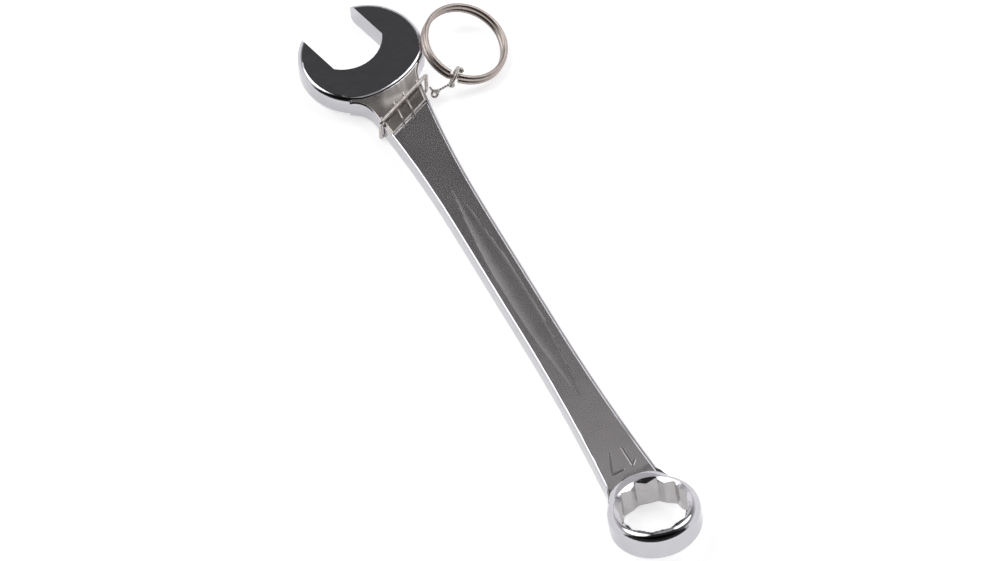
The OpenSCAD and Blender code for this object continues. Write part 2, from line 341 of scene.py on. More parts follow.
MIRROR_CHROME = MetalFinish(
    name="mirror_chrome",
    color=(0.54, 0.535, 0.56),
    dull_color=(0.50, 0.495, 0.515),
    rough=0.045,
    dull_rough=0.09,
    mottle_per_mm=0.12,
    hairline_per_mm=2.5,
    hairline_depth=0.0000015,
    wave_per_mm=0.09,
    wave_depth=0.00012,
)
PANEL_CHROME = MetalFinish(
    name="panel_chrome",
    color=(0.56, 0.535, 0.545),
    dull_color=(0.52, 0.495, 0.50),
    rough=0.21,
    dull_rough=0.25,
    mottle_per_mm=0.1,
    hairline_per_mm=4.0,
    hairline_depth=0.0000008,
    wave_per_mm=0.03,
    wave_depth=0.00012,
)
# Satin finish of the neck. Its colour is darkened below the panel's as painted shade, standing for the dark
# reflections over the neck.
NECK_SHADED_CHROME = MetalFinish(
    name="neck_chrome_painted_shade",
    color=(0.40, 0.375, 0.365),
    dull_color=(0.32, 0.295, 0.28),
    rough=0.22,
    dull_rough=0.32,
    mottle_per_mm=0.12,
    hairline_per_mm=4.0,
    hairline_depth=0.000001,
    wave_per_mm=0.05,
    wave_depth=0.00002,
)
# Rougher finish of the socket's broached walls and of the digits. Its colour is darkened below the mirror's
# as painted shade inside the socket.
BROACHED_SHADED_CHROME = MetalFinish(
    name="broached_chrome_painted_shade",
    color=(0.47, 0.455, 0.46),
    dull_color=(0.41, 0.395, 0.40),
    rough=0.13,
    dull_rough=0.22,
    mottle_per_mm=0.5,
    hairline_per_mm=5.0,
    hairline_depth=0.000003,
    wave_per_mm=0.2,
    wave_depth=0.00003,
)
BRIGHT_WIRE = MetalFinish(
    name="bright_wire",
    color=(0.62, 0.59, 0.57),
    dull_color=(0.45, 0.415, 0.39),
    rough=0.2,
    dull_rough=0.34,
    mottle_per_mm=0.6,
    hairline_per_mm=6.0,
    hairline_depth=0.000004,
    wave_per_mm=0.5,
    wave_depth=0.00003,
)
NICKEL_SPRING = MetalFinish(
    name="nickel_spring",
    color=(0.47, 0.415, 0.385),
    dull_color=(0.37, 0.32, 0.295),
    rough=0.24,
    dull_rough=0.36,
    mottle_per_mm=0.3,
    hairline_per_mm=5.0,
    hairline_depth=0.000003,
    wave_per_mm=0.3,
    wave_depth=0.00003,
)


@dataclass
class FinishSet:
    """The finishes of the whole object, each built once.

    Attributes:
        hairlines: The shared hairline group.
        mottle: The shared mottle group.
        made: The materials built so far, by finish name.
    """

    hairlines: bpy.types.NodeTree = field(default_factory=hairline_group)
    mottle: bpy.types.NodeTree = field(default_factory=mottle_group)
    made: dict[str, bpy.types.Material] = field(default_factory=dict)

    def get(self, finish: MetalFinish) -> bpy.types.Material:
        """Gives the material of a finish, building it the first time.

        Args:
            finish: The finish.

        Returns:
            Its material.
        """
        if finish.name not in self.made:
            self.made[finish.name] = finish.build(self.hairlines, self.mottle)
        return self.made[finish.name]


# ------------------------------------------------
# The spanner itself
# ------------------------------------------------


class Level(Enum):
    """Heights of the flats over the middle plane of the shank."""

    HEAD = 3.5 * MM
    SHANK = 2.7 * MM
    DIGIT = 2.54 * MM
    PANEL = 2.3 * MM
    OVAL = 2.0 * MM


class Skin(IntEnum):
    """Places of the body's finishes in its mesh."""

    MIRROR = 0
    PANEL = 1
    BROACHED = 2
    NECK = 3


SKIN_FINISHES = {
    Skin.MIRROR: MIRROR_CHROME,
    Skin.PANEL: PANEL_CHROME,
    Skin.BROACHED: BROACHED_SHADED_CHROME,
    Skin.NECK: NECK_SHADED_CHROME,
}

# How level a face is, as the upright share of its normal
DEAD_LEVEL = 0.999
RAMP_LEVEL = 0.98
NEARLY_LEVEL = 0.9
UPRIGHT = 0.2
SOCKET_UPRIGHT = 0.35

LEVEL_ERROR = 0.02 * MM  # how far from a level's height a corner may be and still be on it


def is_at(height: float, *levels: Level) -> bool:
    """Says whether a height over or under the middle plane is that of one of the levels."""
    return any(abs(abs(height) - level.value) < LEVEL_ERROR for level in levels)


def edge_middle(edge: bmesh.types.BMEdge) -> Vector:
    """Returns the middle of an edge."""
    return (edge.verts[0].co + edge.verts[1].co) / 2


def cut_faces(
    bm: bmesh.types.BMesh,
    faces: Sequence[bmesh.types.BMFace],
    place: tuple[float, float, float],
    normal: tuple[int, int, int],
    snap: float = CUT_SNAP,
) -> None:
    """Cuts some faces along a plane.

    Args:
        bm: The mesh.
        faces: The faces to cut.
        place: A point on the plane.
        normal: The plane's normal.
        snap: Distance at which the cut goes through a corner.
    """
    edges = dict.fromkeys(e for f in faces for e in f.edges)
    verts = dict.fromkeys(v for f in faces for v in f.verts)
    bmesh.ops.bisect_plane(bm, geom=[*verts, *edges, *faces], dist=snap, plane_co=place, plane_no=normal)


@dataclass
class SpannerBody:
    """The forging, with the rounded edges that grinding and polishing leave.

    Attributes:
        node: The CAD node it stands for.
        body: The CAD body it rides on.
        upper_round: Rounding of the shank's upper edges.
        lower_round: Rounding of the shank's lower edges.
        jaw_round: Rounding of the edges round the jaw's gap.
        panel_round: Rounding of the edges of the recessed panels.
        socket_round: Rounding of the socket's edges.
        digit_round: Rounding of the raised digits.
        flat_turn: Largest turn between faces that lie in one flat.
        crease: Smallest turn at which an edge counts as an edge.
        smooth_turn: Largest turn that is shaded as a curve.
        weld: Distance under which corners are one.
        cuts: Distances from the ring at which long faces are cut across.
        outline_x: Distances from the ring between which the outline is rounded.
        outline_y: Smallest sideways distance of the outline.
        panel_x: Distances from the ring between which the panels' edges are rounded.
        oval_x: Middle of the long dips.
        oval_half_len: Half their length.
        oval_half_w: Half their width.
        oval_curve_r: Radius of their sides.
        oval_depth: Their depth under the panel.
        oval_step: Distance between the cuts across them.
        oval_strip: Distance between the cuts along them.
        oval_margin: How far outside their outline a corner of their floor may be.
        neck_from: Distance from the ring at which the satin neck starts.
        neck_centre: Centre of the round back of the open head.
        neck_head_r: Its radius.
        neck_reach: How far the hollow of the neck reaches from it.
        neck_depth: Depth of that hollow.
        head_margin: How far under the open head's flats it ends.
        neck_cuts: Distances from the ring at which the neck is cut across.
        neck_strips: Sideways distances at which it is cut along.
        digits_at: Middle of the size mark.
        digits_reach: How far its digits reach from there.
        socket_reach: Radius that holds the whole socket.
        ring_reach: Radius that holds the socket and its chamfers.
    """

    node: str = "spanner_body"
    body: str = "spanner"
    upper_round: float = 0.75 * MM
    lower_round: float = 0.8 * MM
    jaw_round: float = 0.3 * MM
    panel_round: float = 0.13 * MM
    socket_round: float = 0.1 * MM
    digit_round: float = 0.15 * MM
    flat_turn: float = math.radians(0.15)
    crease: float = math.radians(24)
    smooth_turn: float = math.radians(32)
    weld: float = 0.02 * MM
    cuts: tuple[float, ...] = tuple(
        x * MM for x in (15.2, 24, 34, 44, 54, 64, 78, 92, 106, 118, 130, 141, 150)
    )
    outline_x: tuple[float, float] = (12 * MM, 158 * MM)
    outline_y: float = 4 * MM
    panel_x: tuple[float, float] = (28 * MM, 145 * MM)
    oval_x: float = 79 * MM
    oval_half_len: float = 39 * MM
    oval_half_w: float = 3.2 * MM
    oval_curve_r: float = 239.256 * MM
    oval_depth: float = 0.3 * MM
    oval_step: float = 3 * MM
    oval_strip: float = 0.4 * MM
    oval_margin: float = 0.1 * MM
    neck_from: float = 120 * MM
    neck_centre: tuple[float, float] = (176.17 * MM, 4.07 * MM)
    neck_head_r: float = 24.9 * MM
    neck_reach: float = 10 * MM
    neck_depth: float = 0.36 * MM
    head_margin: float = 0.1 * MM
    neck_cuts: tuple[float, ...] = tuple(x * MM for x in (142, 143, 144, 145, 146, 147, 148, 149))
    neck_strips: tuple[float, ...] = tuple(y * MM for y in (-4.8, -3.2, -1.6, 1.6, 3.2, 4.8))
    digits_at: tuple[float, float] = (19.5 * MM, 0.0)
    digits_reach: float = 4.6 * MM
    socket_reach: float = 10.0 * MM
    ring_reach: float = 11.6 * MM

    def build(self, finishes: FinishSet) -> bpy.types.Object:
        """Makes the body and dresses it.

        Args:
            finishes: The finishes to take the materials from.

        Returns:
            The finished object.
        """
        bm = bmesh.new()
        bm.from_mesh(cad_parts[self.node].data)
        self.shape(bm)
        mesh = bpy.data.meshes.new("spanner_forging")
        bm.to_mesh(mesh)
        bm.free()
        mesh.set_sharp_from_angle(angle=self.smooth_turn)
        for skin in Skin:
            mesh.materials.append(finishes.get(SKIN_FINISHES[skin]))
        thing = made_object("spanner_forging", mesh)
        even = thing.modifiers.new("even_normals", "WEIGHTED_NORMAL")
        even.keep_sharp = True
        even.weight = 100  # the largest faces lead
        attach(thing, self.body)
        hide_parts(self.node)
        return thing

    def shape(self, bm: bmesh.types.BMesh) -> None:
        """Turns the plain forging into the finished one, in the shank's own frame.

        Args:
            bm: The plain forging, in the frame of the spanner at rest, where it is left again.
        """
        bmesh.ops.remove_doubles(bm, verts=bm.verts, dist=self.weld)
        bmesh.ops.transform(bm, matrix=shank_to_row().inverted(), verts=bm.verts)
        bmesh.ops.dissolve_limit(
            bm, angle_limit=self.flat_turn, verts=bm.verts, edges=bm.edges, use_dissolve_boundaries=False
        )
        self.mark_skins(bm)
        self.part_faces(bm)
        self.part_neck(bm)
        self.hollow_ovals(bm)
        for test, size, segments, clamp in (
            (self.is_lower_edge, self.lower_round, 4, False),
            (self.is_upper_edge, self.upper_round, 4, False),
            (self.is_jaw_edge, self.jaw_round, 3, True),
            (self.is_panel_edge, self.panel_round, 2, True),
            (self.is_socket_edge, self.socket_round, 2, True),
            (self.is_digit_edge, self.digit_round, 2, False),
        ):
            self.round_edges(bm, test, size, segments, clamp)
        self.hollow_neck(bm)
        for face in bm.faces:
            face.smooth = True
        bmesh.ops.transform(bm, matrix=shank_to_row(), verts=bm.verts)

    def part_faces(self, bm: bmesh.types.BMesh) -> None:
        """Cuts the long faces of the shank across and along, so that none of them has a hole.

        Args:
            bm: The mesh in the shank's own frame.
        """
        for x in self.cuts:
            cut_faces(bm, list(bm.faces), (x, 0, 0), (1, 0, 0), SAME_POINT)
        faces = [f for f in bm.faces if self.cuts[0] < f.calc_center_median().x < self.cuts[-1]]
        cut_faces(bm, faces, (0, 0, 0), (0, 1, 0), SAME_POINT)

    def part_neck(self, bm: bmesh.types.BMesh) -> None:
        """Cuts the flats of the neck finely enough to be hollowed, and keeps off their outline.

        Args:
            bm: The mesh in the shank's own frame.
        """
        for y in self.neck_strips:
            cut_faces(bm, self.neck_faces(bm), (0, y, 0), (0, 1, 0))
        for x in self.neck_cuts:
            inner = [f for f in self.neck_faces(bm) if abs(f.calc_center_median().y) <= self.neck_strips[-1]]
            cut_faces(bm, inner, (x, 0, 0), (1, 0, 0))

    def neck_faces(self, bm: bmesh.types.BMesh) -> list[bmesh.types.BMFace]:
        """Returns the flats of the neck."""
        return [f for f in bm.faces if f.material_index == Skin.NECK]

    def hollow_neck(self, bm: bmesh.types.BMesh) -> None:
        """Lets the neck sink before it rises to the open head, as a forged fillet does.

        Args:
            bm: The mesh in the shank's own frame, with its edges rounded.
        """
        low = Level.PANEL.value - self.upper_round
        high = Level.HEAD.value - self.head_margin
        for vert in bm.verts:
            out = math.hypot(vert.co.x - self.neck_centre[0], vert.co.y - self.neck_centre[1])
            along = (out - self.neck_head_r) / self.neck_reach
            height = abs(vert.co.z)
            if 0 < along < 1 and vert.co.x > self.neck_from and low < height < high:
                share = min(1.0, (height - low) / (Level.SHANK.value - low))
                sink = self.neck_depth * share * (1 - math.cos(math.tau * along)) / 2
                vert.co.z -= math.copysign(sink, vert.co.z)

    def oval_half_width(self, x: float) -> float:
        """Returns half the width of the long dips at a distance x from the ring, below 0 outside them."""
        sag = self.oval_curve_r - math.sqrt(self.oval_curve_r**2 - (x - self.oval_x) ** 2)
        return self.oval_half_w - sag

    def hollow_ovals(self, bm: bmesh.types.BMesh) -> None:
        """Turns the flat floor of each long dip into a shallow scoop.

        Args:
            bm: The mesh in the shank's own frame.
        """
        for vert in bm.verts:
            x, y, z = vert.co
            inside = abs(x - self.oval_x) < self.oval_half_len + self.oval_margin
            if inside and abs(y) < self.oval_half_w + self.oval_margin and is_at(z, Level.OVAL):
                vert.co.z = math.copysign(Level.PANEL.value, z)
        bmesh.ops.remove_doubles(bm, verts=bm.verts, dist=self.weld / 2)
        steps = round(self.oval_half_len / self.oval_step)
        strips = round(self.oval_half_w / self.oval_strip)
        for step in range(-steps, steps + 1):
            cut_faces(bm, self.oval_faces(bm), (self.oval_x + step * self.oval_step, 0, 0), (1, 0, 0))
        for strip in range(-strips, strips + 1):
            cut_faces(bm, self.oval_faces(bm), (0, strip * self.oval_strip, 0), (0, 1, 0))
        for vert in dict.fromkeys(v for f in self.oval_faces(bm) for v in f.verts):
            half = self.oval_half_width(vert.co.x)
            if half > 0 and abs(vert.co.y) < half:
                depth = self.oval_depth * half / self.oval_half_w * (1 - (vert.co.y / half) ** 2)
                vert.co.z -= math.copysign(depth, vert.co.z)

    def oval_faces(self, bm: bmesh.types.BMesh) -> list[bmesh.types.BMFace]:
        """Returns the faces of the floors of the long dips."""
        return [f for f in bm.faces if self.in_oval(f)]

    def in_oval(self, face: bmesh.types.BMFace) -> bool:
        """Says whether a face belongs to the floor of a long dip.

        Args:
            face: The face, whose dip is still level.

        Returns:
            True where it does.
        """
        middle = face.calc_center_median()
        inside = (
            abs(middle.x - self.oval_x) < self.oval_half_len
            and abs(middle.y) < self.oval_half_width(middle.x) - self.weld / 2
        )
        high = abs(middle.z) > Level.OVAL.value - self.oval_margin
        return inside and abs(face.normal.z) > NEARLY_LEVEL and high

    def mark_skins(self, bm: bmesh.types.BMesh) -> None:
        """Tells the neck, the panels and the broached faces from the mirror-polished rest; the neck's and the
        broached faces' finishes are darkened as painted shade.

        Args:
            bm: The mesh in the shank's own frame.
        """
        for face in bm.faces:
            middle = face.calc_center_median()
            level = abs(face.normal.z)
            rise = Level.SHANK.value + LEVEL_ERROR / 4 < abs(middle.z) < Level.HEAD.value - LEVEL_ERROR
            if level > RAMP_LEVEL and middle.x > self.neck_from and rise:
                face.material_index = Skin.NECK
            elif level > DEAD_LEVEL and is_at(middle.z, Level.PANEL, Level.OVAL):
                face.material_index = Skin.PANEL
            elif self.is_digit(face) or self.is_socket_wall(face):
                face.material_index = Skin.BROACHED

    def is_socket_wall(self, face: bmesh.types.BMFace) -> bool:
        """Says whether a face is one of the broached walls of the socket.

        Args:
            face: The face.

        Returns:
            True where it is.
        """
        middle = face.calc_center_median()
        inward = face.normal.x * middle.x + face.normal.y * middle.y < 0
        return middle.xy.length < self.socket_reach and abs(face.normal.z) < SOCKET_UPRIGHT and inward

    def is_digit(self, face: bmesh.types.BMFace) -> bool:
        """Says whether a face belongs to the raised digits of the size mark.

        Args:
            face: The face.

        Returns:
            True where it does.
        """
        middle = face.calc_center_median()
        reach = math.hypot(middle.x - self.digits_at[0], middle.y - self.digits_at[1])
        return reach < self.digits_reach and Level.PANEL.value < middle.z < Level.DIGIT.value + LEVEL_ERROR

    def round_edges(
        self,
        bm: bmesh.types.BMesh,
        test: Callable[[bmesh.types.BMEdge], bool],
        size: float,
        segments: int,
        clamp: bool,
    ) -> None:
        """Rounds the edges that pass a test.

        Args:
            bm: The mesh in the shank's own frame.
            test: Says whether an edge belongs to the set.
            size: Distance from the edge to where the rounding starts.
            segments: Number of strips across the rounding.
            clamp: Whether the rounding stays narrower than the shortest edge beside it.
        """
        bm.normal_update()
        edges = [e for e in bm.edges if len(e.link_faces) == 2 and test(e)]
        LOG.info("rounding %d edges by %.2f mm", len(edges), size / MM)
        bmesh.ops.bevel(
            bm,
            geom=edges,
            offset=size,
            offset_type="OFFSET",
            segments=segments,
            profile=0.5,
            affect="EDGES",
            clamp_overlap=clamp,
            material=-1,
        )

    def turn(self, edge: bmesh.types.BMEdge) -> float:
        """Returns the signed turn across an edge, above 0 where it stands out."""
        return edge.calc_face_angle_signed(0.0)

    def flat_and_wall(self, edge: bmesh.types.BMEdge) -> bool:
        """Says whether an edge parts a nearly level face from an upright one."""
        lowest, highest = sorted(abs(f.normal.z) for f in edge.link_faces)
        return lowest < UPRIGHT and highest > NEARLY_LEVEL

    def is_outline(self, edge: bmesh.types.BMEdge) -> bool:
        """Says whether an edge is on the outer outline of the shank or neck.

        Args:
            edge: The edge.

        Returns:
            True where it is.
        """
        middle = edge_middle(edge)
        wall = min(edge.link_faces, key=lambda f: abs(f.normal.z))
        return (
            self.flat_and_wall(edge)
            and self.turn(edge) > self.crease
            and abs(middle.z) > Level.SHANK.value - LEVEL_ERROR
            and wall.normal.y * middle.y > 0
            and self.outline_x[0] < middle.x < self.outline_x[1]
            and abs(middle.y) > self.outline_y
        )

    def is_lower_edge(self, edge: bmesh.types.BMEdge) -> bool:
        """Says whether an edge runs along the shank's lower outline."""
        return self.is_outline(edge) and edge.verts[0].co.z < 0

    def is_upper_edge(self, edge: bmesh.types.BMEdge) -> bool:
        """Says whether an edge runs along the shank's upper outline."""
        return self.is_outline(edge) and edge.verts[0].co.z > 0

    def is_jaw_edge(self, edge: bmesh.types.BMEdge) -> bool:
        """Says whether an edge runs round the gap of the jaw."""
        level = all(is_at(v.co.z, Level.HEAD) for v in edge.verts)
        return level and self.flat_and_wall(edge) and self.turn(edge) > self.crease

    def is_panel_edge(self, edge: bmesh.types.BMEdge) -> bool:
        """Says whether an edge bounds a panel or a dip.

        Args:
            edge: The edge.

        Returns:
            True where it does.
        """
        level = any(all(is_at(v.co.z, at) for v in edge.verts) for at in (Level.SHANK, Level.PANEL))
        return (
            level
            and self.flat_and_wall(edge)
            and not self.is_outline(edge)
            and abs(self.turn(edge)) > self.crease
            and self.panel_x[0] < edge_middle(edge).x < self.panel_x[1]
        )

    def is_digit_edge(self, edge: bmesh.types.BMEdge) -> bool:
        """Says whether an edge bounds the top of a raised digit."""
        top = all(abs(v.co.z - Level.DIGIT.value) < 1.5 * LEVEL_ERROR for v in edge.verts)
        return top and self.flat_and_wall(edge) and all(self.is_digit(f) for f in edge.link_faces)

    def is_socket_edge(self, edge: bmesh.types.BMEdge) -> bool:
        """Says whether an edge belongs to the socket or its chamfers."""
        return edge_middle(edge).xy.length < self.ring_reach and self.turn(edge) > self.crease


# ------------------------------------------------
# Wire pieces
# ------------------------------------------------


WIRE_SMOOTH_TURN = math.radians(50)  # largest turn on a wire that is shaded as a curve


def wire_mesh(
    name: str, strands: Sequence[Sequence[Vector]], diameter: float, closed: bool = False, sides: int = 4
) -> bpy.types.Object:
    """Makes round wire along one or more paths.

    Args:
        name: The object's name.
        strands: Points of each strand, in the row frame.
        diameter: The wire's diameter.
        closed: Whether each strand meets its own start.
        sides: Resolution of the wire's round section.

    Returns:
        The wire as one mesh object.
    """
    curve = bpy.data.curves.new(name + "_path", "CURVE")
    curve.dimensions = "3D"
    curve.bevel_depth = diameter / 2
    curve.bevel_resolution = sides
    curve.use_fill_caps = True
    for points in strands:
        spline = curve.splines.new("POLY")
        spline.points.add(len(points) - 1)
        for point, place in zip(spline.points, points):
            point.co = (*place, 1)
        spline.use_cyclic_u = closed
    holder = made_object(name + "_path", curve)
    graph = bpy.context.evaluated_depsgraph_get()
    mesh = bpy.data.meshes.new_from_object(holder.evaluated_get(graph))
    bpy.data.objects.remove(holder)
    bpy.data.curves.remove(curve)
    bm = bmesh.new()
    bm.from_mesh(mesh)
    bmesh.ops.remove_doubles(bm, verts=bm.verts, dist=SAME_POINT)
    bmesh.ops.recalc_face_normals(bm, faces=bm.faces)
    for face in bm.faces:
        face.smooth = True
    bm.to_mesh(mesh)
    bm.free()
    mesh.name = name
    mesh.set_sharp_from_angle(angle=WIRE_SMOOTH_TURN)
    return made_object(name, mesh)


@dataclass
class WirePiece:
    """One piece of the lashing or tether: a node whose round wire is made again with finer detail.

    Attributes:
        node: The CAD node it stands for.
        body: The CAD body it rides on.
        slot: The record's material slot; not used.
        finish: The finish of its wire.
    """

    node: str
    body: str
    slot: str = "tether_wire"
    finish: MetalFinish = BRIGHT_WIRE

    def dress(self, thing: bpy.types.Object, finishes: FinishSet) -> bpy.types.Object:
        """Gives a made piece its finish and its place in the frame.

        Args:
            thing: The piece.
            finishes: The finishes to take the material from.

        Returns:
            The same piece.
        """
        thing.data.materials.clear()
        thing.data.materials.append(finishes.get(self.finish))
        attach(thing, self.body)
        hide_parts(self.node)
        return thing


@dataclass
class KeptNode:
    """A CAD node whose shape stays and which only gets its finish.

    Attributes:
        node: The CAD node.
        finish: Its finish.
        slot: The record's material slot; not used.
    """

    node: str
    finish: MetalFinish = BRIGHT_WIRE
    slot: str = "tether_wire"

    def build(self, finishes: FinishSet) -> bpy.types.Object:
        """Dresses the CAD node.

        Args:
            finishes: The finishes to take the material from.

        Returns:
            The CAD node.
        """
        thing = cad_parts[self.node]
        thing.data.materials.clear()
        thing.data.materials.append(finishes.get(self.finish))
        return thing


@dataclass
class SplitRing(WirePiece):
    """The split key ring: two flat coils of one wire, joined by a short rise.

    Attributes:
        radius: Mean radius of the coils.
        wire: The wire's diameter.
        pitch: Distance between the two coils.
        tilt_deg: Lean of the ring from level.
        lean_az_deg: Direction in which it leans down.
        rise_deg: Where the rise is, from the lowest point.
        rise_half_deg: Half the turn that the rise takes.
        end_gap_deg: How far each end of the wire stops short of the rise's middle.
        centre: The ring's centre.
        steps: Points along the wire.
    """

    radius: float = 11.3 * MM
    wire: float = 1.6 * MM
    pitch: float = 1.8 * MM
    tilt_deg: float = 19.0
    lean_az_deg: float = -126.2
    rise_deg: float = 265.0
    rise_half_deg: float = 9.0
    end_gap_deg: float = 7.0
    centre: Vector = field(default_factory=lambda: Vector((156.85, -24.5, -1.68419)) * MM)
    steps: int = 260

    def axes(self) -> tuple[Vector, Vector, Vector]:
        """Works out how the ring leans.

        Returns:
            The ring's lowest direction, its side and its axis.
        """
        tilt, az = math.radians(self.tilt_deg), math.radians(self.lean_az_deg)
        axis = Vector((math.sin(tilt) * math.cos(az), math.sin(tilt) * math.sin(az), math.cos(tilt)))
        down = Vector((math.cos(tilt) * math.cos(az), math.cos(tilt) * math.sin(az), -math.sin(tilt)))
        return down, axis.cross(down), axis

    def point(self, angle_deg: float) -> Vector:
        """Finds the wire's middle at an angle along its two turns.

        Args:
            angle_deg: The angle, from 0 to 720 degrees.

        Returns:
            The place.
        """
        down, side, axis = self.axes()
        share = max(-1.0, min(1.0, (angle_deg - 360) / self.rise_half_deg))
        level = math.sin(math.pi / 2 * share) * self.pitch / 2
        turn = math.radians(angle_deg + self.rise_deg)
        return self.centre + self.radius * (math.cos(turn) * down + math.sin(turn) * side) + level * axis

    def build(self, finishes: FinishSet) -> bpy.types.Object:
        """Makes the ring and dresses it.

        Args:
            finishes: The finishes to take the material from.

        Returns:
            The finished object.
        """
        first, last = self.end_gap_deg, 720 - self.end_gap_deg
        path = [self.point(first + (last - first) * i / self.steps) for i in range(self.steps + 1)]
        return self.dress(wire_mesh("split_key_ring", [path], self.wire, sides=6), finishes)


@dataclass
class Link(WirePiece):
    """The doubled and twisted wire between the neck eye and the loop.

    Attributes:
        near: Centre of the neck eye's wire, which the near eye goes round.
        far: Centre of the loop's wire, which the far eye goes round.
        near_axis: Axis of the near eye.
        far_axis: Axis of the far eye.
        eye: Mean radius of each eye.
        eye_points: Points round each eye.
        wire: The wire's diameter.
        strand_share: Thickness of a twisted strand, as a share of the wire's.
        strand_off: Distance from the twist's middle to each strand's.
        bite: How deep the twist runs into the far eye, as a share of the wire.
        turns: Twists between the two eyes.
        steps: Points along each strand.
    """

    near: Vector = field(default_factory=lambda: Vector((147.7, -11.6566, -4.0255)) * MM)
    far: Vector = field(default_factory=lambda: Vector((146.201, -15.2665, -1.2841)) * MM)
    near_axis: Vector = field(default_factory=lambda: Vector((1, 0, 0)))
    far_axis: Vector = field(default_factory=lambda: Vector((-0.192282, -0.262721, 0.945519)))
    eye: float = 0.72 * MM
    eye_points: int = 40
    wire: float = 0.44 * MM
    strand_share: float = 0.85
    strand_off: float = 0.19 * MM
    bite: float = 1 / 3
    turns: float = 2.0
    steps: int = 60

    def ring(self, centre: Vector, axis: Vector) -> list[Vector]:
        """Finds the points of one closed eye.

        Args:
            centre: Its centre.
            axis: Its axis.

        Returns:
            The points.
        """
        x = axis.orthogonal().normalized()
        y = axis.cross(x).normalized()
        turns = [math.tau * i / self.eye_points for i in range(self.eye_points)]
        return [centre + self.eye * (math.cos(turn) * x + math.sin(turn) * y) for turn in turns]

    def build(self, finishes: FinishSet) -> bpy.types.Object:
        """Makes the link and dresses it.

        Args:
            finishes: The finishes to take the material from.

        Returns:
            The finished object.
        """
        along = (self.far - self.near).normalized()
        near_dir = Vector((0, along.y, along.z)).normalized()
        far_dir = (along - along.dot(self.far_axis) * self.far_axis).normalized()
        start = self.near + near_dir * self.eye
        end = self.far - far_dir * (self.eye + self.wire * self.bite)
        run = (end - start).normalized()
        side = run.cross(self.near_axis).normalized()
        other = run.cross(side)
        strands = []
        for phase in (0.0, math.pi):
            strand = []
            for i in range(self.steps + 1):
                share = i / self.steps
                turn = phase + math.tau * self.turns * share
                off = self.strand_off * (math.cos(turn) * side + math.sin(turn) * other)
                strand.append(start.lerp(end, share) + off)
            strands.append(strand)
        runs = wire_mesh("link_runs", strands, self.wire * self.strand_share)
        rings = [self.ring(self.near, self.near_axis), self.ring(self.far, self.far_axis)]
        eyes = wire_mesh("link_eyes", rings, self.wire, closed=True)
        return self.dress(join("twisted_link", [runs, eyes]), finishes)


def join(name: str, things: Sequence[bpy.types.Object]) -> bpy.types.Object:
    """Joins several made objects into one.

    Args:
        name: The joined object's name.
        things: The objects, which are used up.

    Returns:
        The joined object.
    """
    bm = bmesh.new()
    for thing in things:
        bm.from_mesh(thing.data)
        mesh = thing.data
        bpy.data.objects.remove(thing)
        bpy.data.meshes.remove(mesh)
    mesh = bpy.data.meshes.new(name)
    bm.to_mesh(mesh)
    bm.free()
    mesh.set_sharp_from_angle(angle=WIRE_SMOOTH_TURN)
    return made_object(name, mesh)


# ------------------------------------------------
# Studio
# ------------------------------------------------


